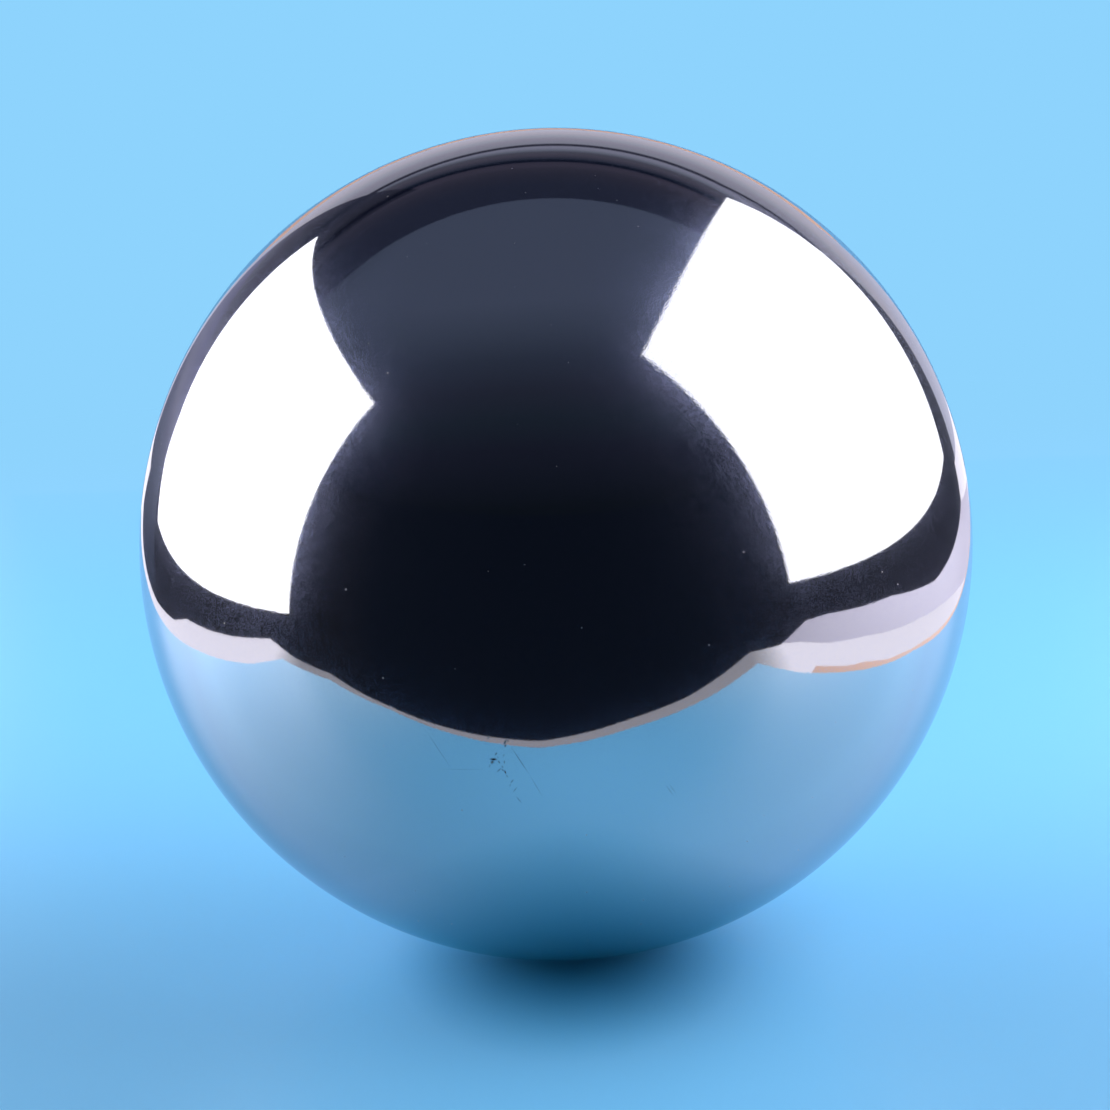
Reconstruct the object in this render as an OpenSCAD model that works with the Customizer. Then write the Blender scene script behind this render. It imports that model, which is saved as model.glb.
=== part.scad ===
// Hollow polished steel ball.
//
// Two equal half shells are pressed from stainless sheet, set rim to rim and
// welded round the middle. Outside, the weld is ground flush and the whole
// ball is polished, so nothing of the joint is left to see or feel. Inside,
// the root of the weld stays as it ran: a low rounded bead on the wall.
// The ball is one sealed piece. The origin is its centre, and +Z is the axis
// that the weld runs round.

/* [Ball] */
// Outside diameter of the ball, over the polish
ball_d = 200; // [80:1:500]
// Wall of the half shells once they are polished
wall = 1; // [0.6:0.1:4]

/* [Weld] */
// Width of the weld's root bead, up and down the wall
root_w = 4; // [2:0.5:10]
// How far the root bead stands in from the wall
root_h = 0.8; // [0.2:0.1:1]

/* [Hidden] */

// Facets round a full turn in the preview
$fn = 240;

ball_r = ball_d / 2;
cavity_r = ball_r - wall;
// Radius of the arc that is root_w wide and root_h high
root_r = (root_h * root_h + root_w * root_w / 4) / (2 * root_h);

steel = [0.80, 0.79, 0.78];

// Right half of a round, which a full turn about Z makes a ball
module half_round(r) {
    intersection() {
        circle(r = r);
        translate([0, -r]) square([r, 2 * r]);
    }
}

// Section of the sealed space inside, less the weld's root
module cavity_section() {
    difference() {
        half_round(cavity_r);
        translate([cavity_r - root_h + root_r, 0]) circle(r = root_r);
    }
}

// The shell, turned from the section of its wall
module ball() {
    color(steel)
        rotate_extrude()
            difference() {
                half_round(ball_r);
                cavity_section();
            }
}

ball();
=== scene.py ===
# %% [markdown]
# # A mirror-polished steel ball
# The object is one hollow ball of stainless steel, 200 mm across, polished until it mirrors the room.
# A mirror has hardly any colour of its own, so the lesson has two halves. The first makes the ball and
# the fine marks in its polish. The second makes what the polish shows: a sheet of pale blue paper on a
# white table, two softboxes, and a dim studio behind the camera.

# %% Load the frame
import math

import bmesh
import bpy
from mathutils import Euler, Matrix, Vector, noise


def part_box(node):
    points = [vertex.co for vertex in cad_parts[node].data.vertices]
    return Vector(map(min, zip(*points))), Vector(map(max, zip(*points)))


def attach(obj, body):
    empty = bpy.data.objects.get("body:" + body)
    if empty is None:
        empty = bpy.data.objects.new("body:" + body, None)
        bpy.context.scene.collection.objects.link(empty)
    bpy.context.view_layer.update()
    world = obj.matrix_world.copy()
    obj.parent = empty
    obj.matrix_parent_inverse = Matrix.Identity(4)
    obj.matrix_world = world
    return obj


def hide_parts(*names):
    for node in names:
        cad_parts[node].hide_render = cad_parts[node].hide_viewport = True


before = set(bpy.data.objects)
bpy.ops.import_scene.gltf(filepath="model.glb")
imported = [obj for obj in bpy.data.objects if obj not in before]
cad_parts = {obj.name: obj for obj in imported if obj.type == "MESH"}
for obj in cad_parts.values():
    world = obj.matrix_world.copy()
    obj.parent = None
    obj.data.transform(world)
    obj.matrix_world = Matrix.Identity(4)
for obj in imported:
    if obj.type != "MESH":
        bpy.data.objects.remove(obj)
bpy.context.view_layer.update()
ball_low, ball_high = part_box("ball")
ball_radius = (ball_high.z - ball_low.z) / 2
floor_level = -ball_radius
print("ball radius in mm:", round(ball_radius * 1000, 2))

# %% [markdown]
# ## The camera
# A mirror ball shows the room squeezed into its rim, so the camera decides where each reflection
# lands. A long lens a metre away keeps the ball's outline a true circle. The view is square, the ball
# fills three quarters of its width, and that fixes the focal length once the distance is chosen. The
# camera is rolled a little, which moves the point where the ball touches the paper off the middle.

# %% Camera
VIEW_PX = 1110
BALL_MIDDLE_PX = (555.9, 544.4)
BALL_RADIUS_PX = 416.8
CAMERA_DISTANCE = 1.0
CAMERA_HEIGHT_ANGLE = math.radians(13.5)
CAMERA_ROLL = math.radians(2.1)
SENSOR_MM = 36.0

focal_px = BALL_RADIUS_PX / math.tan(math.asin(ball_radius / CAMERA_DISTANCE))
toward_camera = Vector((0, -math.cos(CAMERA_HEIGHT_ANGLE), math.sin(CAMERA_HEIGHT_ANGLE)))
look = (-toward_camera).to_track_quat("-Z", "Y").to_matrix()
roll = Matrix.Rotation(-CAMERA_ROLL, 3, "Z")
pitch = Matrix.Rotation(-math.atan((VIEW_PX / 2 - BALL_MIDDLE_PX[1]) / focal_px), 3, "X")
yaw = Matrix.Rotation(math.atan((BALL_MIDDLE_PX[0] - VIEW_PX / 2) / focal_px), 3, "Y")
print("focal length in pixels:", round(focal_px))

# %% Place the camera
camera_data = bpy.data.cameras.new("camera")
camera_data.sensor_width = SENSOR_MM
camera_data.lens = focal_px * SENSOR_MM / VIEW_PX
camera = bpy.data.objects.new("camera", camera_data)
turned = (look @ roll @ yaw @ pitch).to_4x4()
camera.matrix_world = Matrix.Translation(toward_camera * CAMERA_DISTANCE) @ turned
bpy.context.collection.objects.link(camera)
bpy.context.scene.camera = camera
print("lens in mm:", round(camera_data.lens, 1))

# %% [markdown]
# ## Small helpers
# Blender's colour sockets hold linear light, while colours are easiest to read as sRGB hex codes, so
# one function turns the one into the other. A second adds a node of any kind and links it in one call,
# and a third starts an empty material, which keeps the recipes below short. An input goes by its name,
# or by its number where several share a name: 6 and 7 are the two colours of a Mix node.


# %% Colours and nodes
def rgb(hex_code):
    """Turns an sRGB hex colour into the linear values that Blender's sockets hold."""
    channels = [int(hex_code[i:i + 2], 16) / 255 for i in (1, 3, 5)]
    return [c / 12.92 if c <= 0.04045 else ((c + 0.055) / 1.055) ** 2.4 for c in channels] + [1.0]


def add_node(tree, kind, inputs=None, **settings):
    """Adds one node. An input is a plain value, or another node's output to link."""
    node = tree.nodes.new(kind)
    for name, value in settings.items():
        setattr(node, name, value)
    for socket, value in (inputs or {}).items():
        if isinstance(value, bpy.types.NodeSocket):
            tree.links.new(value, node.inputs[socket])
        else:
            node.inputs[socket].default_value = value
    return node


def new_material(name):
    """A material with an empty node tree, and its output node."""
    material = bpy.data.materials.new(name)
    material.use_nodes = True
    material.node_tree.nodes.clear()
    return material, material.node_tree, add_node(material.node_tree, "ShaderNodeOutputMaterial")


print("a middle grey in linear light:", round(rgb("#808080")[0], 3))

# %% [markdown]
# ## The ball's skin
# The real ball is two half shells, pressed from sheet, welded round the middle and ground flush, so
# nothing of the seam is left. It is sealed, and only its outer skin can ever be seen. An icosphere
# suits a mirror better than a globe of rings and spokes, because its triangles are all nearly alike
# and no pole pinches the reflections. A pressed shell is never quite round, though: it stays a few
# hundredths of a millimetre flat here and full there, and straight edges mirrored in it waver. Smooth
# noise moves the points inwards by that much, so the ball stays within its size.

# %% Skin
SKIN_SUBDIVISIONS = 7
OUT_OF_ROUND = 0.00008
WAVE_PITCH = 0.045

skin = bmesh.new()
bmesh.ops.create_icosphere(skin, subdivisions=SKIN_SUBDIVISIONS, radius=ball_radius)
for vertex in skin.verts:
    flatness = (1 + noise.noise(vertex.co / WAVE_PITCH)) / 2
    vertex.co -= vertex.co.normalized() * OUT_OF_ROUND * flatness
for face in skin.faces:
    face.smooth = True
ball_mesh = bpy.data.meshes.new("polished_ball")
skin.to_mesh(ball_mesh)
skin.free()
ball = bpy.data.objects.new("polished_ball", ball_mesh)
bpy.context.collection.objects.link(ball)
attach(ball, "root")
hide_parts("ball")
print("triangles in the skin:", len(ball_mesh.polygons))

# %% [markdown]
# ## Hairlines
# A polishing mop leaves hairlines that cross in every direction. Each is a groove far too fine to see,
# but it tips the reflection across its own run. Beside a bright softbox only the hairlines that run
# along its edge catch the light, and the edge looks furry. Noise stretched long and thin gives one
# direction of lines, and six directions, the diagonals of a cube's faces, cross on every side of the
# ball. Real hairlines are a few hundredths of a millimetre wide; here they are drawn three tenths of a
# millimetre wide, so that they show.

# %% Hairlines
HAIRLINE_PITCH = 0.0003
HAIRLINE_LENGTH = 0.0022
HAIRLINE_RUNS = [(1, 1, 0), (1, -1, 0), (1, 0, 1), (1, 0, -1), (0, 1, 1), (0, 1, -1)]
RUN_SPACING = 0.37


def hairlines(tree, place):
    """Returns the height of all runs of hairlines laid over one another."""
    height = 0.0
    for index, run in enumerate(HAIRLINE_RUNS):
        laid = add_node(tree, "ShaderNodeMapping", {
            "Vector": place,
            "Location": (RUN_SPACING * index, 0, 0),
            "Rotation": Vector(run).to_track_quat("Z", "Y").to_euler(),
            "Scale": (HAIRLINE_PITCH, HAIRLINE_PITCH, HAIRLINE_LENGTH)}, vector_type="TEXTURE")
        lines = add_node(tree, "ShaderNodeTexNoise", {
            "Vector": laid.outputs[0], "Scale": 1.0, "Detail": 0.0})
        height = add_node(
            tree, "ShaderNodeMath", {0: lines.outputs["Fac"], 1: height}, operation="ADD").outputs[0]
    return height


print("hairlines to the millimetre, as drawn:", round(0.001 / HAIRLINE_PITCH, 1))

# %% [markdown]
# ## Places on the ball
# A place on the skin is easiest to give as on a globe: longitude from the front toward the right, and
# latitude up from the middle.


# %% Places on the ball
def on_the_ball(longitude, latitude, turn):
    """The place and the turning of a mark: its length is local Y and the outward way is local Z."""
    out = Euler((0, -math.radians(latitude), math.radians(longitude - 90))).to_matrix() @ Vector((1, 0, 0))
    facing = out.to_track_quat("Z", "Y").to_matrix()
    return out * ball_radius, (facing @ Matrix.Rotation(-math.radians(turn), 3, "Z")).to_euler()


print("foremost point of the ball in mm:", [round(c * 1000) for c in on_the_ball(0, 0, 0)[0]])

# %% [markdown]
# ## Where the ball has been handled
# Hands and cloths have dulled the polish in some places more than in others. One field, from 0 to 1,
# says how much each place has been handled, and both the hairlines and the haze follow it, as they do
# on a real ball. Its patches are soft round ones.

# %% Handled patches
# longitude and latitude in degrees, radius in mm, and how much handled
HANDLED = [
    (36, 53, 26, 0.85), (24, 45, 26, 1.0), (18, 33, 33, 1.0), (24, 14, 36, 0.7), (-37, 15, 33, 0.6),
    (-26, 30, 30, 0.75), (-40, 42, 30, 0.35)]


def handled(tree, place):
    """How much each place has been handled, from 0 to 1."""
    most = 0.0
    for longitude, latitude, radius, amount in HANDLED:
        centre = on_the_ball(longitude, latitude, 0)[0]
        away = add_node(tree, "ShaderNodeVectorMath", {0: place, 1: centre}, operation="DISTANCE")
        patch = add_node(tree, "ShaderNodeMapRange", {
            "Value": away.outputs["Value"], "From Min": radius / 1000, "From Max": 0.0, "To Max": amount},
            interpolation_type="SMOOTHSTEP")
        most = add_node(
            tree, "ShaderNodeMath", {0: patch.outputs["Result"], 1: most}, operation="MAXIMUM").outputs[0]
    return most


print("handled patches:", len(HANDLED))

# %% [markdown]
# ## Haze
# Between the hairlines lie finer scratches still, a few hundredths of a millimetre across. Each
# scatters a little light far round it, slightly bluer than it came, and together they are the faint
# veil that spreads from the softboxes over the dark parts. They cover only a small share of the skin,
# and a larger one where it has been handled. They gather in faint streaks along the way the last mop
# ran, and the streaks give the veil its grain.

# %% Haze
HAZE_GRAIN = 0.00005
HAZE_CLEAN_SHARE, HAZE_HANDLED_SHARE = 0.068, 0.27
STREAK_WIDTH, STREAK_LENGTH = 0.0003, 0.003
STREAK_NOISE_LOW, STREAK_NOISE_HIGH = 0.3, 0.7
THIN_STREAK, THICK_STREAK = 0.6, 1.4


def haze_spots(tree, place, use):
    """One on a fine scratch and zero between them."""
    usual = add_node(tree, "ShaderNodeMapRange", {
        "Value": use, "To Min": HAZE_CLEAN_SHARE, "To Max": HAZE_HANDLED_SHARE})
    laid = add_node(tree, "ShaderNodeMapping", {
        "Vector": place, "Scale": (STREAK_WIDTH, STREAK_WIDTH, STREAK_LENGTH)}, vector_type="TEXTURE")
    streaks = add_node(tree, "ShaderNodeTexNoise", {"Vector": laid.outputs[0], "Scale": 1.0, "Detail": 0.0})
    thickness = add_node(tree, "ShaderNodeMapRange", {
        "Value": streaks.outputs["Fac"], "From Min": STREAK_NOISE_LOW, "From Max": STREAK_NOISE_HIGH,
        "To Min": THIN_STREAK, "To Max": THICK_STREAK})
    share = add_node(tree, "ShaderNodeMath", {
        0: usual.outputs["Result"], 1: thickness.outputs["Result"]}, operation="MULTIPLY")
    grains = add_node(tree, "ShaderNodeVectorMath", {0: place, 1: (HAZE_GRAIN,) * 3}, operation="SNAP")
    chance = add_node(tree, "ShaderNodeTexWhiteNoise", {"Vector": grains.outputs[0]})
    spots = add_node(tree, "ShaderNodeMath", {
        0: chance.outputs["Value"], 1: share.outputs[0]}, operation="LESS_THAN")
    return spots.outputs[0]


print("hazed share of the skin, clean and handled:", HAZE_CLEAN_SHARE, HAZE_HANDLED_SHARE)

# %% [markdown]
# ## Pits
# A polished pressing also has a few pin pricks where a grain of grit was dragged out. They are single
# pale points, four tenths of a millimetre across at most and a centimetre or two apart. They look pale
# because their torn floor, two fifths of their width, scatters light. A Voronoi pattern gives each cell
# one centre. Most centres lie too far inside or outside the skin to show, and a random colour leaves
# out more of them.

# %% Pits
PIT_SPACING = 0.004
PIT_RADIUS = 0.0002
PIT_FLOOR = 0.4
PIT_SHARE = 0.4


def pits(tree, place):
    """One at a pit's middle, falling to nothing at its edge."""
    cells = add_node(tree, "ShaderNodeTexVoronoi", {"Vector": place, "Scale": 1 / PIT_SPACING})
    hollow = add_node(tree, "ShaderNodeMapRange", {
        "Value": cells.outputs["Distance"], "From Min": PIT_RADIUS / PIT_SPACING,
        "From Max": PIT_FLOOR * PIT_RADIUS / PIT_SPACING})
    chance = add_node(tree, "ShaderNodeSeparateColor", {"Color": cells.outputs["Color"]})
    chosen = add_node(tree, "ShaderNodeMath", {0: chance.outputs[0], 1: PIT_SHARE}, operation="LESS_THAN")
    kept = add_node(tree, "ShaderNodeMath", {
        0: hollow.outputs["Result"], 1: chosen.outputs[0]}, operation="MULTIPLY")
    return kept.outputs[0]


print("widest pit in mm:", PIT_RADIUS * 2000)

# %% [markdown]
# ## Scratches and scuffs
# Handling has left a few real marks on the front, below the middle: a cluster of short scuffs with
# one dark nick, and some long, faint scratches. Each is a slim ellipse laid on the skin, given by its
# longitude and latitude on the ball, the way it points, its length and its width. Grime sits in them,
# so they are darker and duller than the polish round them.

# %% Scratches and scuffs
# longitude, latitude and turn in degrees, length and width in mm, and how dark it is
NICK = [
    (-9.2, -14.6, 90, 2.0, 0.79, 1.0), (-9.4, -15.0, 30, 1.5, 0.94, 0.7),
    (-9.8, -15.6, 20, 1.1, 0.50, 0.3)]
UPPER_SCUFFS = [
    (-7.5, -12.1, 30, 1.6, 0.56, 0.8), (-7.5, -12.6, 20, 1.1, 0.50, 0.6),
    (-9.6, -11.4, 25, 1.4, 0.50, 0.5), (-7.1, -11.9, 20, 1.0, 0.43, 0.4),
    (-8.8, -13.8, 30, 1.2, 0.46, 0.6), (-7.8, -14.0, 30, 1.0, 0.40, 0.3),
    (-8.6, -14.3, 150, 0.8, 0.40, 0.3), (-8.5, -15.0, 160, 1.1, 0.50, 0.6),
    (-7.8, -15.0, 0, 1.1, 0.43, 0.5)]
LOWER_SCUFFS = [
    (-8.1, -15.7, 160, 0.9, 0.43, 0.5), (-8.6, -16.2, 45, 1.9, 0.45, 0.5),
    (-8.1, -16.2, 150, 1.0, 0.46, 0.6), (-7.8, -16.5, 170, 1.4, 0.50, 0.8),
    (-7.6, -17.1, 150, 1.0, 0.44, 0.4), (-7.0, -17.9, 35, 1.5, 0.47, 0.5),
    (-7.3, -18.5, 20, 1.0, 0.43, 0.3), (-6.7, -19.2, 35, 2.0, 0.38, 0.4),
    (-6.3, -20.8, 150, 2.5, 0.38, 0.4)]
SCRATCHES = [
    (-16.4, -13.5, 153, 12.0, 0.22, 0.35), (-5.7, -14.8, 153, 8.6, 0.28, 0.55),
    (-3.8, -18.7, 157, 7.2, 0.22, 0.35), (14.4, -20.7, 148, 4.1, 0.22, 0.5),
    (14.8, -20.5, 148, 3.5, 0.22, 0.4), (-13.6, -16.2, 88, 14.0, 0.2, 0.2)]
MARKS = NICK + UPPER_SCUFFS + LOWER_SCUFFS + SCRATCHES
MARK_REACH = 0.004
MARK_CORE = 0.3


def marks(tree, place):
    """How deep in a mark each point of the skin lies, from 0 outside all of them to 1."""
    deepest = 0.0
    for longitude, latitude, turn, length, width, dark in MARKS:
        centre, turning = on_the_ball(longitude, latitude, turn)
        laid = add_node(tree, "ShaderNodeMapping", {
            "Vector": place, "Location": centre, "Rotation": turning,
            "Scale": (width / 2000, length / 2000, MARK_REACH)}, vector_type="TEXTURE")
        away = add_node(tree, "ShaderNodeVectorMath", {0: laid.outputs[0]}, operation="LENGTH")
        mark = add_node(tree, "ShaderNodeMapRange", {
            "Value": away.outputs["Value"], "From Min": 1.0, "From Max": MARK_CORE, "To Max": dark})
        deepest = add_node(
            tree, "ShaderNodeMath", {0: mark.outputs["Result"], 1: deepest}, operation="MAXIMUM").outputs[0]
    return deepest


print("marks:", len(MARKS))

# %% [markdown]
# ## Mirror-polished stainless steel
# Sheet steel, pressed, ground and polished with finer and finer compound. Steel gives back about
# three fifths of the light, nearly without colour, so its base colour is a light neutral grey, and as
# a metal it keeps its default IOR. The polish is a sharp mirror, so its roughness is low, and only the
# fine scratches, the pits and the grime in the marks are duller.

# %% Polished steel
STEEL = "#CBCBCC"
HAZED_STEEL = "#B4BADA"
GRIME = "#2B2C33"
POLISH_ROUGHNESS = 0.035
HAZE_ROUGHNESS = 0.26
PIT_ROUGHNESS = 0.7
GRIME_ROUGHNESS = 0.4
CLEAN_HAIRLINE_DEPTH, HANDLED_HAIRLINE_DEPTH = 0.0000005, 0.0000018

steel, tree, output = new_material("mirror_polished_stainless")
place = add_node(tree, "ShaderNodeTexCoord").outputs["Object"]
use = handled(tree, place)
haze = haze_spots(tree, place, use)
pit = pits(tree, place)
mark = marks(tree, place)
polish = add_node(tree, "ShaderNodeMapRange", {
    "Value": haze, "To Min": POLISH_ROUGHNESS, "To Max": HAZE_ROUGHNESS})
torn = add_node(tree, "ShaderNodeMath", {0: pit, 1: PIT_ROUGHNESS}, operation="MULTIPLY")
dull = add_node(tree, "ShaderNodeMath", {0: mark, 1: GRIME_ROUGHNESS}, operation="MULTIPLY")
worn = add_node(tree, "ShaderNodeMath", {0: torn.outputs[0], 1: dull.outputs[0]}, operation="MAXIMUM")
roughness = add_node(tree, "ShaderNodeMath", {
    0: polish.outputs["Result"], 1: worn.outputs[0]}, operation="MAXIMUM")
hazed = add_node(tree, "ShaderNodeMix", {0: haze, 6: rgb(STEEL), 7: rgb(HAZED_STEEL)}, data_type="RGBA")
colour = add_node(tree, "ShaderNodeMix", {0: mark, 6: hazed.outputs[2], 7: rgb(GRIME)}, data_type="RGBA")
print("nodes for colour and roughness:", len(tree.nodes))

# %% Relief of the steel
depth = add_node(tree, "ShaderNodeMapRange", {
    "Value": use, "To Min": CLEAN_HAIRLINE_DEPTH, "To Max": HANDLED_HAIRLINE_DEPTH})
grooves = add_node(tree, "ShaderNodeBump", {
    "Height": hairlines(tree, place), "Distance": depth.outputs["Result"]})
shader = add_node(tree, "ShaderNodeBsdfPrincipled", {
    "Base Color": colour.outputs[2], "Metallic": 1.0, "Roughness": roughness.outputs[0],
    "Normal": grooves.outputs[0]})
tree.links.new(shader.outputs[0], output.inputs["Surface"])
ball_mesh.materials.append(steel)
print("nodes in the steel:", len(tree.nodes))

# %% [markdown]
# ## Flat sheets for the studio
# Nearly everything round the ball is a flat sheet: paper, table, ceiling and walls. A sheet is one face
# drawn round its corner points. None of it is part of the object.


# %% Flat sheets
def flat_sheet(name, corners, material):
    """One flat face through the corner points."""
    mesh = bpy.data.meshes.new(name)
    bm = bmesh.new()
    bm.faces.new([bm.verts.new(corner) for corner in corners])
    bm.to_mesh(mesh)
    bm.free()
    mesh.materials.append(material)
    sheet = bpy.data.objects.new(name, mesh)
    bpy.context.collection.objects.link(sheet)
    return sheet


def square(half):
    """The four corners of a level square round the ball, from half its side."""
    return [(-half, -half), (half, -half), (half, half), (-half, half)]


def level_sheet(name, outline, height, material):
    """A level sheet from its outline in x and y."""
    return flat_sheet(name, [(x, y, height) for x, y in outline], material)


def upright_sheet(name, left, right, distance, low, high, material):
    """An upright sheet that faces the ball from behind, between two sides and two heights."""
    bottom = [(left, distance, low), (right, distance, low)]
    top = [(right, distance, high), (left, distance, high)]
    return flat_sheet(name, bottom + top, material)


print("height of the paper in mm:", round(floor_level * 1000, 2))

# %% [markdown]
# ## Pale blue paper
# The ball rests on pale blue background paper, which comes smooth off its roll and has a slight sheen.
# The light that creeps in round the ball's foot has been thrown to and fro between paper and steel,
# which leaves it a deeper blue each time. The floor and the mirrored set can't light one another here,
# so a painted shade stands in for it: the paper's colour turns a deeper blue toward the ball's foot, in an
# oval patch.

# %% Surface of the paper
PAPER_BLUE = "#7FD2FF"
# the painted shade: a deeper blue that stands in for the dim light round the ball's foot
PAINTED_SHADE_BLUE = "#0EA6D4"
PAPER_ROUGHNESS = 0.4


def paper_shader(tree, place, blue, painted_shade):
    """The lit surface of the paper. The painted shade is its oval patch of painted shadow at the ball's
    foot: middle y, half sizes and core share.
    """
    middle_y, half_width, half_depth, core = painted_shade
    laid = add_node(tree, "ShaderNodeMapping", {
        "Vector": place, "Location": (0.0, middle_y, floor_level), "Scale": (half_width, half_depth, 1.0)},
        vector_type="TEXTURE")
    away = add_node(tree, "ShaderNodeVectorMath", {0: laid.outputs[0]}, operation="LENGTH")
    painted_shade_share = add_node(tree, "ShaderNodeMapRange", {
        "Value": away.outputs["Value"], "From Min": 1.0, "From Max": core}).outputs["Result"]
    both = add_node(tree, "ShaderNodeMix", {0: painted_shade_share, 6: blue, 7: rgb(PAINTED_SHADE_BLUE)}, data_type="RGBA")
    paper = add_node(tree, "ShaderNodeBsdfPrincipled", {
        "Base Color": both.outputs[2], "Roughness": PAPER_ROUGHNESS})
    return paper.outputs[0]


print("the paper's blue in linear light:", [round(c, 3) for c in rgb(PAPER_BLUE)[:3]])

# %% [markdown]
# ## The floor
# Near the ball the paper is lit by the lamps, so it takes the ball's shadow. Farther out it fades to an
# even blue, and so the background stays plain however far one looks. The ball has a floor of its own to
# mirror, which comes next, so reflections don't see this one.

# %% Paper of the floor
BACKDROP_BLUE = "#8ED3FD"
FADE_START, FADE_END = 0.2, 0.7
LEVEL_PART = (1.0, 1.0, 0.0)
# the painted shade at the ball's foot: its middle's y, half its width and half its depth in metres, and its
# core's share
FLOOR_PAINTED_SHADE = (-0.007, 0.043, 0.080, 0.05)

floor_paper, tree, output = new_material("background_paper")
place = add_node(tree, "ShaderNodeTexCoord").outputs["Object"]
level = add_node(tree, "ShaderNodeVectorMath", {0: place, 1: LEVEL_PART}, operation="MULTIPLY")
reach = add_node(tree, "ShaderNodeVectorMath", {0: level.outputs[0]}, operation="LENGTH")
fade = add_node(tree, "ShaderNodeMapRange", {
    "Value": reach.outputs["Value"], "From Min": FADE_START, "From Max": FADE_END},
    interpolation_type="SMOOTHERSTEP")
even = add_node(tree, "ShaderNodeEmission", {"Color": rgb(BACKDROP_BLUE)})
near = paper_shader(tree, place, rgb(PAPER_BLUE), FLOOR_PAINTED_SHADE)
mixed = add_node(tree, "ShaderNodeMixShader", {0: fade.outputs["Result"], 1: near, 2: even.outputs[0]})
tree.links.new(mixed.outputs[0], output.inputs["Surface"])
print("nodes in the paper of the floor:", len(tree.nodes))

# %% Floor
FLOOR_HALF = 30.0

floor = level_sheet("floor", square(FLOOR_HALF), floor_level, floor_paper)
floor.visible_glossy = False
floor.visible_diffuse = False
floor.visible_shadow = False
print("side of the floor in metres:", 2 * FLOOR_HALF)

# %% [markdown]
# ## The set that the ball mirrors
# The mirrored floor can't be endless: the lower half of the ball shows where the paper stops, a thin
# copper-brown edging beside it, a strip of white table round it, a greyer table on the right, and the
# dark room beyond. So the ball has its own set, which only reflections see. Its paper takes the light
# of the lamps. Most of the rest glows on its own instead of being lit, so that its colours are easy to
# set: a list of distances or heights, with the colour at each, and a smooth blend between them.
#
# The white table, of hard and half-matt melamine laminate, is the first of these. The softboxes wash it
# whiter on the left and on the right, and hardly reach its front edge, which stays grey. So its glow
# grows with the distance from a point in front of it.

# %% Glow of the white table
TABLE_FRONT = [(0.4, "#929098"), (0.5, "#929098"), (0.527, "#BEBEC8")]
TABLE_SIDES = [(0.555, "#F4F0FF"), (1.0, "#F4F0FF")]
TABLE_GLOW = 1.37
TABLE_GLOW_FROM = (-0.1, -0.6)


def glow(name, reading, stops, strength=1.0):
    """A glow of its own; reading picks the distance that the stops, in metres, are measured along."""
    material, tree, output = new_material(name)
    measured = reading(tree, add_node(tree, "ShaderNodeTexCoord").outputs["Object"])
    low, high = stops[0][0], stops[-1][0]
    along = add_node(tree, "ShaderNodeMapRange", {"Value": measured, "From Min": low, "From Max": high})
    ramp = add_node(tree, "ShaderNodeValToRGB", {"Fac": along.outputs["Result"]})
    while len(ramp.color_ramp.elements) < len(stops):
        ramp.color_ramp.elements.new(0.5)
    for element, (metres, colour) in zip(ramp.color_ramp.elements, stops):
        element.position = (metres - low) / (high - low)
        element.color = rgb(colour)
    light = add_node(tree, "ShaderNodeEmission", {"Color": ramp.outputs["Color"], "Strength": strength})
    tree.links.new(light.outputs[0], output.inputs["Surface"])
    return material


def level_distance(middle_x, middle_y, widening):
    """A reading of level distance from a point, in ovals that are wider than deep by the widening."""
    def reading(tree, place):
        laid = add_node(tree, "ShaderNodeMapping", {
            "Vector": place, "Location": (middle_x, middle_y, 0.0), "Scale": (widening, 1.0, 1.0)},
            vector_type="TEXTURE")
        level = add_node(tree, "ShaderNodeVectorMath", {
            0: laid.outputs[0], 1: LEVEL_PART}, operation="MULTIPLY")
        away = add_node(tree, "ShaderNodeVectorMath", {0: level.outputs[0]}, operation="LENGTH")
        return away.outputs["Value"]
    return reading


from_the_front = level_distance(*TABLE_GLOW_FROM, widening=1.0)
white_laminate = glow("white_laminate_glow", from_the_front, TABLE_FRONT + TABLE_SIDES, TABLE_GLOW)
print("nodes in the white table:", len(white_laminate.node_tree.nodes))

# %% [markdown]
# ## The mirrored paper
# In the mirror the paper isn't even either. A painted sheen, which stands for the softboxes' light, lies
# on its front corners and grows with how far aside and how far forward a place lies, while beside and
# behind the ball a painted shade makes the paper a little deeper. The sheen is light that is added as a
# glow: the paper's blue is already full, so a paler colour would only turn greener.

# %% Blue of the mirrored paper
FRONT_SLANT = 0.55
# where the painted shade beside and behind the ball gives way to the full blue, and the shaded blue
BESIDE, BEFORE = 0.06, 0.11
BESIDE_SHADE_BLUE = "#74C0EF"

set_paper_material, tree, output = new_material("background_paper_in_the_mirror")
place = add_node(tree, "ShaderNodeTexCoord").outputs["Object"]
axes = add_node(tree, "ShaderNodeSeparateXYZ", {"Vector": place}).outputs
aside = add_node(tree, "ShaderNodeMath", {0: axes["X"]}, operation="ABSOLUTE").outputs[0]
slanted = add_node(tree, "ShaderNodeMath", {0: aside, 1: FRONT_SLANT}, operation="MULTIPLY")
forward = add_node(tree, "ShaderNodeMath", {0: slanted.outputs[0], 1: axes["Y"]}, operation="SUBTRACT")
lit = add_node(tree, "ShaderNodeMapRange", {
    "Value": forward.outputs[0], "From Min": BESIDE, "From Max": BEFORE})
blue = add_node(tree, "ShaderNodeMix", {
    0: lit.outputs["Result"], 6: rgb(BESIDE_SHADE_BLUE), 7: rgb(PAPER_BLUE)}, data_type="RGBA")
print("nodes for the mirrored blue:", len(tree.nodes))

# %% Sheen of the mirrored paper
# the painted shade at the ball's foot, larger in the mirror than on the floor
MIRRORED_PAINTED_SHADE = (0.012, 0.070, 0.129, 0.275)
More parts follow.
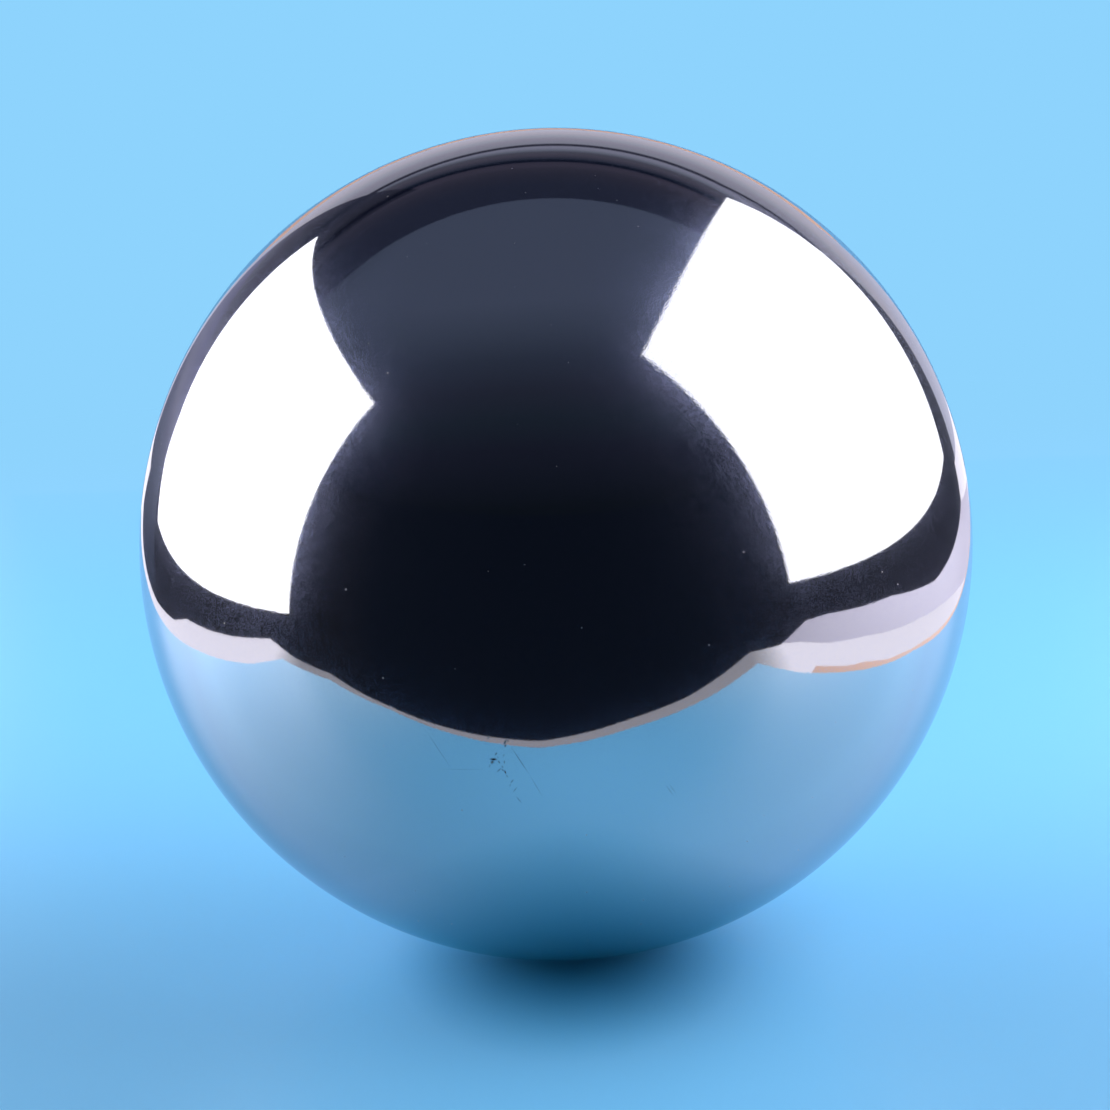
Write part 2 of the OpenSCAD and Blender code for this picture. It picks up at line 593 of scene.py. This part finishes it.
# the painted sheen of the softboxes' light on the front corners: how far aside, how far forward, its colour
# and strength
WASH_ASIDE, WASH_FRONT = (0.06, 0.26), (-0.03, -0.18)
PAINTED_SHEEN_WHITE = "#FFF7EE"
PAINTED_SHEEN_STRENGTH = 0.24

wash_aside = add_node(tree, "ShaderNodeMapRange", {
    "Value": aside, "From Min": WASH_ASIDE[0], "From Max": WASH_ASIDE[1], "To Max": PAINTED_SHEEN_STRENGTH},
    interpolation_type="SMOOTHSTEP")
wash_front = add_node(tree, "ShaderNodeMapRange", {
    "Value": axes["Y"], "From Min": WASH_FRONT[0], "From Max": WASH_FRONT[1]})
wash = add_node(tree, "ShaderNodeMath", {
    0: wash_aside.outputs["Result"], 1: wash_front.outputs["Result"]}, operation="MULTIPLY")
sheen = add_node(tree, "ShaderNodeEmission", {"Color": rgb(PAINTED_SHEEN_WHITE), "Strength": wash.outputs[0]})
paper = paper_shader(tree, place, blue.outputs[2], MIRRORED_PAINTED_SHADE)
both = add_node(tree, "ShaderNodeAddShader", {0: paper, 1: sheen.outputs[0]})
tree.links.new(both.outputs[0], output.inputs["Surface"])
print("nodes in the mirrored paper:", len(tree.nodes))

# %% [markdown]
# ## Edging and grey laminate
# The edging along the paper and the greyer table are only seen small and bent in the mirror, so one
# even colour each is enough: a matt strip of copper brown, and laminate in a lilac grey.

# %% Edging and grey laminate
COPPER_BROWN, EDGING_ROUGHNESS = "#F6C6A8", 0.5
LILAC_GREY, LAMINATE_ROUGHNESS = "#CDC8D6", 0.6


def plain_material(name, colour, roughness):
    """One even colour, from its hex code."""
    material, tree, output = new_material(name)
    shader = add_node(tree, "ShaderNodeBsdfPrincipled", {"Base Color": rgb(colour), "Roughness": roughness})
    tree.links.new(shader.outputs[0], output.inputs["Surface"])
    return material


copper_edge = plain_material("copper_brown_edging", COPPER_BROWN, EDGING_ROUGHNESS)
grey_laminate = plain_material("lilac_grey_laminate", LILAC_GREY, LAMINATE_ROUGHNESS)
print("materials so far:", [material.name for material in bpy.data.materials])

# %% [markdown]
# ## Paper and table in the mirror
# The outlines are in metres from the ball's middle, with the camera toward -Y. Their corners were moved
# until every edge bent in the mirror as it should, so they aren't square. The sheets lie a little below
# one another, so that each covers the next.

# %% Outlines of paper and table
PAPER_OUTLINE = [
    (-0.333, -0.117), (-0.249, -0.170), (-0.150, -0.186), (-0.016, -0.183), (0.052, -0.197),
    (0.150, -0.206), (0.232, -0.216), (0.229, -0.150), (0.245, -0.049), (0.260, 0.045), (0.252, 0.200),
    (0.234, 0.487), (0.215, 0.526), (-0.235, 0.526), (-0.280, 0.357), (-0.310, 0.075), (-0.312, -0.050)]
EDGE_OUTLINE = [
    (0.220, -0.128), (0.235, -0.049), (0.250, 0.045), (0.240, 0.200), (0.226, 0.487), (0.244, 0.487),
    (0.256, 0.225), (0.262, 0.163), (0.268, 0.077), (0.264, 0.014), (0.260, -0.011), (0.261, -0.035),
    (0.262, -0.050), (0.254, -0.080), (0.252, -0.108), (0.250, -0.129)]
GREY_OUTLINE = [
    (0.312, -0.221), (0.440, -0.226), (0.474, -0.169), (0.488, 0.017), (0.416, 0.183), (0.430, 0.550),
    (0.240, 0.550), (0.250, 0.300), (0.286, 0.236), (0.302, 0.197), (0.317, 0.152), (0.331, 0.080),
    (0.333, -0.060), (0.320, -0.128), (0.322, -0.190)]
TABLE_OUTLINE = [
    (-0.431, -0.111), (-0.340, -0.144), (-0.269, -0.182), (-0.157, -0.192), (-0.017, -0.193),
    (0.057, -0.213), (0.124, -0.223), (0.262, -0.257), (0.308, -0.221), (0.440, -0.226),
    (0.474, -0.169), (0.488, 0.017), (0.416, 0.183), (0.430, 0.550), (0.600, 0.850), (-0.440, 0.850),
    (-0.302, 0.605), (-0.295, 0.477), (-0.322, 0.276), (-0.350, 0.182), (-0.395, 0.146), (-0.411, -0.013)]
print("corners of the paper and of the table:", len(PAPER_OUTLINE), len(TABLE_OUTLINE))

# %% Paper and table in the mirror
SHEET_STEP = 0.0004

set_paper = level_sheet("set_paper", PAPER_OUTLINE, floor_level - SHEET_STEP, set_paper_material)
set_edge = level_sheet("set_edging", EDGE_OUTLINE, floor_level - 2 * SHEET_STEP, copper_edge)
set_grey_table = level_sheet("set_grey_table", GREY_OUTLINE, floor_level - 3 * SHEET_STEP, grey_laminate)
set_table = level_sheet("set_table", TABLE_OUTLINE, floor_level - 4 * SHEET_STEP, white_laminate)
print("width of the mirrored paper in mm:", round(set_paper.dimensions.x * 1000))

# %% [markdown]
# ## The dim studio
# The dark half of the ball is as much a part of its look as the bright one. Behind the paper stands a
# pale wall that ends in a dark rail, with darker boards over it and a dimmer wall beside it. A second
# rail ends the boards, and the upper wall goes on to the ceiling. Each is painted and matt, and each
# glow fades as it rises, which is a painted falloff of the lamps' light, so the glow is a list of heights
# in metres and the colours there. The lower rail drops toward the right and the upper one toward the
# left, which a slant in the reading of height makes.

# %% Glow of the pale wall
RIGHT_DROP_FROM, RIGHT_DROP = 0.35, 0.5
# the pale wall: its paint, with a painted falloff of the lamps' light up the wall
PALE_PAINT_AND_FALLOFF = [
    (-0.1, "#D1D2EB"), (0.12, "#C5C7DF"), (0.26, "#BFBBCB"), (0.33, "#AAADBE"), (0.39, "#9C99AC"),
    (0.47, "#9092A4")]
LOWER_RAIL = [(0.487, "#2E2F3E"), (0.511, "#2E2F3E")]
OVER_THE_RAIL = [(0.52, "#7A7B90"), (0.6, "#7A7B90")]


def slanted_height(corner, slant):
    """A reading of height that counts more beyond the corner's x: to its left for a slant below zero."""
    def reading(tree, place):
        axes = add_node(tree, "ShaderNodeSeparateXYZ", {"Vector": place}).outputs
        beyond = add_node(tree, "ShaderNodeMath", {0: axes["X"], 1: corner}, operation="SUBTRACT")
        rise = add_node(tree, "ShaderNodeMath", {0: beyond.outputs[0], 1: slant}, operation="MULTIPLY")
        added = add_node(tree, "ShaderNodeMath", {0: rise.outputs[0], 1: 0.0}, operation="MAXIMUM")
        total = add_node(tree, "ShaderNodeMath", {0: axes["Z"], 1: added.outputs[0]}, operation="ADD")
        return total.outputs[0]
    return reading


wall_height = slanted_height(RIGHT_DROP_FROM, RIGHT_DROP)
wall_glow = glow("lilac_wall_glow", wall_height, PALE_PAINT_AND_FALLOFF + LOWER_RAIL + OVER_THE_RAIL)
print("colours up the pale wall:", len(PALE_PAINT_AND_FALLOFF + LOWER_RAIL + OVER_THE_RAIL))

# %% Glow of the boards and the upper wall
LEFT_DROP_FROM, LEFT_DROP = 0.0, -0.2
# the boards and the upper wall darken as they rise, a painted falloff of the lamps' light
BOARDS = [
    (0.52, "#7A7B90"), (0.535, "#8B8CA2"), (0.57, "#7F8297"), (0.59, "#6E7385"), (0.62, "#515362"),
    (0.66, "#4F4D5D"), (0.70, "#404152"), (0.735, "#2A3142")]
UPPER_RAIL = [(0.75, "#10182A"), (0.78, "#10182A")]
UPPER_PAINT_AND_FALLOFF = [
    (0.795, "#3E3B4C"), (0.85, "#403E4F"), (0.90, "#373747"), (1.0, "#2F3142"), (1.2, "#282D40"),
    (1.55, "#262B3E")]

board_height = slanted_height(LEFT_DROP_FROM, LEFT_DROP)
upper_glow = glow("dark_upper_wall_glow", board_height, BOARDS + UPPER_RAIL + UPPER_PAINT_AND_FALLOFF)
print("colours up the boards and the upper wall:", len(BOARDS + UPPER_RAIL + UPPER_PAINT_AND_FALLOFF))

# %% [markdown]
# ## Ceiling, curtain and side wall
# The lamps leave an oval pool of light on the ceiling, painted into its glow. Round all of it hangs a
# dark curtain, which is palest behind the paper, painted light from the lamps. The side wall lies in a
# painted half shadow: palest a little over the ball's middle, darker above, with a dark rail of its own
# near its top.

# %% Glow of ceiling, curtain and side wall
POOL_MIDDLE, POOL_WIDENING = (0.0, 0.35), 1.7
POOL = [(0.0, "#4B546A"), (0.62, "#4B546A"), (0.87, "#414A5E"), (1.14, "#323A4C")]
ROUND_THE_POOL = [
    (1.45, "#292E3E"), (1.81, "#202936"), (2.28, "#1C202F"), (2.93, "#171C29"), (4.0, "#10161F")]
CURTAIN_IN_FRONT = [(-4.0, "#0E1420"), (-2.6, "#101622"), (-1.9, "#171A22"), (-1.0, "#20222B")]
# the curtain, palest behind the paper with painted light from the lamps
CURTAIN_BEHIND = [
    (0.5, "#282A33"), (2.3, "#2B2D39"), (3.15, "#303340"), (3.4, "#484B58"), (3.65, "#6C6D80"),
    (4.0, "#6C6D80")]
# the side wall's paint in a painted half shadow, palest a little over the ball's middle
SIDE_PAINT_IN_HALF_SHADOW = [
    (-0.2, "#40465A"), (-0.06, "#646A80"), (0.0, "#6E7189"), (0.05, "#84859E"), (0.17, "#787999"),
    (0.2, "#6E6F82"), (0.29, "#515264"), (0.4, "#3F4050"), (0.485, "#282D3E"), (0.55, "#333546"),
    (0.65, "#2C2E3C")]
SIDE_RAIL = [(0.695, "#0C1020"), (0.72, "#0C1020"), (0.745, "#262939"), (0.77, "#262939")]


def height_of(tree, place):
    """A reading of plain height."""
    return add_node(tree, "ShaderNodeSeparateXYZ", {"Vector": place}).outputs["Z"]


def depth_of(tree, place):
    """A reading of depth, from the camera's side to the back."""
    return add_node(tree, "ShaderNodeSeparateXYZ", {"Vector": place}).outputs["Y"]


pool_distance = level_distance(*POOL_MIDDLE, POOL_WIDENING)
ceiling_glow = glow("ceiling_glow", pool_distance, POOL + ROUND_THE_POOL)
curtain_glow = glow("dark_curtain_glow", depth_of, CURTAIN_IN_FRONT + CURTAIN_BEHIND)
side_glow = glow("dim_side_wall_glow", height_of, SIDE_PAINT_IN_HALF_SHADOW + SIDE_RAIL)
print("glows:", [material.name for material in bpy.data.materials if material.name.endswith("glow")])

# %% [markdown]
# ## Where they stand
# The walls stand at the table's far edge, as four sheets in one plane. The paper turns up at its far
# end, with the copper-brown edging along its top. The curtain is a drum without ends, made by the
# operator for cones, which draws a drum when both its radii are the same.

# %% Walls and ceiling
WALL_Y = 0.85
WALL_LEFT, WALL_RIGHT = -0.325, 0.56
SIDE_LEFT = -0.75
UPPER_LEFT, UPPER_RIGHT = -1.6, 1.3
WALL_LOW_Z = floor_level - 0.02
SIDE_LOW_Z, RAIL_Z, SIDE_Z, CEILING_Z = -0.25, 0.52, 0.77, 1.55
RISE_Y = 0.526
RISE_LEFT, RISE_RIGHT = -0.20, 0.21
RISE_Z, RISE_EDGE_Z = 0.085, 0.125
CURTAIN_RADIUS = 4.0

wall = upright_sheet("pale_wall", WALL_LEFT, WALL_RIGHT, WALL_Y, WALL_LOW_Z, RAIL_Z, wall_glow)
boards = upright_sheet("dark_boards", WALL_LEFT, WALL_RIGHT, WALL_Y, RAIL_Z, SIDE_Z, upper_glow)
side_wall = upright_sheet("side_wall", SIDE_LEFT, WALL_LEFT, WALL_Y, SIDE_LOW_Z, SIDE_Z, side_glow)
upper_wall = upright_sheet("upper_wall", UPPER_LEFT, UPPER_RIGHT, WALL_Y, SIDE_Z, CEILING_Z, upper_glow)
paper_rise = upright_sheet(
    "paper_rise", RISE_LEFT, RISE_RIGHT, RISE_Y, floor_level, RISE_Z, set_paper_material)
rise_edge = upright_sheet(
    "paper_rise_edging", RISE_LEFT, RISE_RIGHT, RISE_Y, RISE_Z, RISE_EDGE_Z, copper_edge)
ceiling = level_sheet("ceiling", square(CURTAIN_RADIUS), CEILING_Z, ceiling_glow)
print("height of the ceiling over the paper in metres:", round(CEILING_Z - floor_level, 2))

# %% Curtain
CURTAIN_DEPTH = 12.0
CURTAIN_SIDES = 96

curtain_mesh = bpy.data.meshes.new("dark_curtain")
drum = bmesh.new()
bmesh.ops.create_cone(
    drum, cap_ends=False, segments=CURTAIN_SIDES, radius1=CURTAIN_RADIUS, radius2=CURTAIN_RADIUS,
    depth=CURTAIN_DEPTH)
drum.to_mesh(curtain_mesh)
drum.free()
curtain_mesh.materials.append(curtain_glow)
curtain = bpy.data.objects.new("dark_curtain", curtain_mesh)
bpy.context.collection.objects.link(curtain)
print("sides of the curtain:", len(curtain_mesh.polygons))

# %% Only reflections see the set
reflected_set = [set_paper, set_edge, set_grey_table, set_table, wall, boards, side_wall, upper_wall]
reflected_set += [paper_rise, rise_edge, ceiling, curtain]
for sheet in reflected_set:
    sheet.visible_camera = False
    sheet.visible_diffuse = False
    sheet.visible_shadow = False
print("sheets that only reflections see:", len(reflected_set))

# %% [markdown]
# ## Two softboxes
# Large softboxes stand on either side and a little behind, tilted down at the ball. Their reflections
# are the two white shapes with curved edges, which tell the eye that the surface is round and
# polished. An area lamp is also what it looks like in a mirror, so the same lamps light the paper.
# The cloth of a softbox is brightest in front of its tube and dimmer toward the frame. The eye can't
# see that in the mirrored shapes, which are white all over, but the shadow on the paper is deeper for
# it, because only the dim near ends of the lamps reach in under the ball.

# %% Softboxes
SOFTBOX_WIDTH, SOFTBOX_HEIGHT = 1.2, 0.76
SOFTBOX_LIGHT = "#F4F4FF"
CLOTH_MIDDLE, CLOTH_EDGE = 1.7, 0.75
CLOTH_REACH = 1.1


def cloth_glow(tree):
    """The light of the cloth: full in its middle, fading toward the frame."""
    across = add_node(tree, "ShaderNodeNewGeometry").outputs["Parametric"]
    middle = (0.5, 0.5, 0.0)
    off = add_node(tree, "ShaderNodeVectorMath", {0: across, 1: middle}, operation="DISTANCE")
    fading = add_node(tree, "ShaderNodeMapRange", {
        "Value": off.outputs["Value"], "From Max": CLOTH_REACH / 2,
        "To Min": CLOTH_MIDDLE, "To Max": CLOTH_EDGE}, interpolation_type="SMOOTHSTEP")
    light = add_node(tree, "ShaderNodeEmission", {
        "Color": rgb(SOFTBOX_LIGHT), "Strength": fading.outputs["Result"]})
    add_node(tree, "ShaderNodeOutputLight", {"Surface": light.outputs[0]})


def softbox(name, centre, heading, tilt, watts):
    """An area lamp at centre. Heading turns it from facing -Y, and a tilt below zero tips it down."""
    data = bpy.data.lights.new(name, "AREA")
    data.shape = "RECTANGLE"
    data.size = SOFTBOX_WIDTH
    data.size_y = SOFTBOX_HEIGHT
    data.energy = watts
    data.use_nodes = True
    data.node_tree.nodes.clear()
    cloth_glow(data.node_tree)
    lamp = bpy.data.objects.new(name, data)
    turn, tip = math.radians(heading), math.radians(tilt)
    facing = Vector((math.sin(turn) * math.cos(tip), -math.cos(turn) * math.cos(tip), math.sin(tip)))
    lamp.matrix_world = Matrix.Translation(centre) @ facing.to_track_quat("-Z", "Y").to_matrix().to_4x4()
    lamp.visible_camera = False
    bpy.context.collection.objects.link(lamp)


softbox("left_softbox", centre=(-0.707, 0.315, 0.201), heading=88.5, tilt=-27.7, watts=10.7)
softbox("right_softbox", centre=(0.532, 0.259, 0.293), heading=261.7, tilt=-28.0, watts=8.4)
print("lamps:", len(bpy.data.lights))

# %% [markdown]
# ## The world
# Past the edge of the floor the camera sees the same even blue, and so would glass or metal. What the
# world adds to the light is only a weak fill, as blue as the light that the paper throws back, so that
# the shadow under the ball stays deep.

# %% World
FILL = "#30D0FF"
FILL_STRENGTH = 0.01

world = bpy.data.worlds.new("studio")
world.use_nodes = True
bpy.context.scene.world = world
tree = world.node_tree
tree.nodes.clear()
path = add_node(tree, "ShaderNodeLightPath").outputs
mirrored = add_node(tree, "ShaderNodeMath", {
    0: path["Is Camera Ray"], 1: path["Is Glossy Ray"]}, operation="MAXIMUM")
seen = add_node(tree, "ShaderNodeMath", {
    0: mirrored.outputs[0], 1: path["Is Transmission Ray"]}, operation="MAXIMUM")
fill = add_node(tree, "ShaderNodeBackground", {"Color": rgb(FILL), "Strength": FILL_STRENGTH})
shown = add_node(tree, "ShaderNodeBackground", {"Color": rgb(BACKDROP_BLUE), "Strength": 1.0})
both = add_node(tree, "ShaderNodeMixShader", {0: seen.outputs[0], 1: fill.outputs[0], 2: shown.outputs[0]})
add_node(tree, "ShaderNodeOutputWorld", {"Surface": both.outputs[0]})
bpy.context.scene.view_settings.view_transform = "Standard"
print("nodes in the world:", len(tree.nodes))
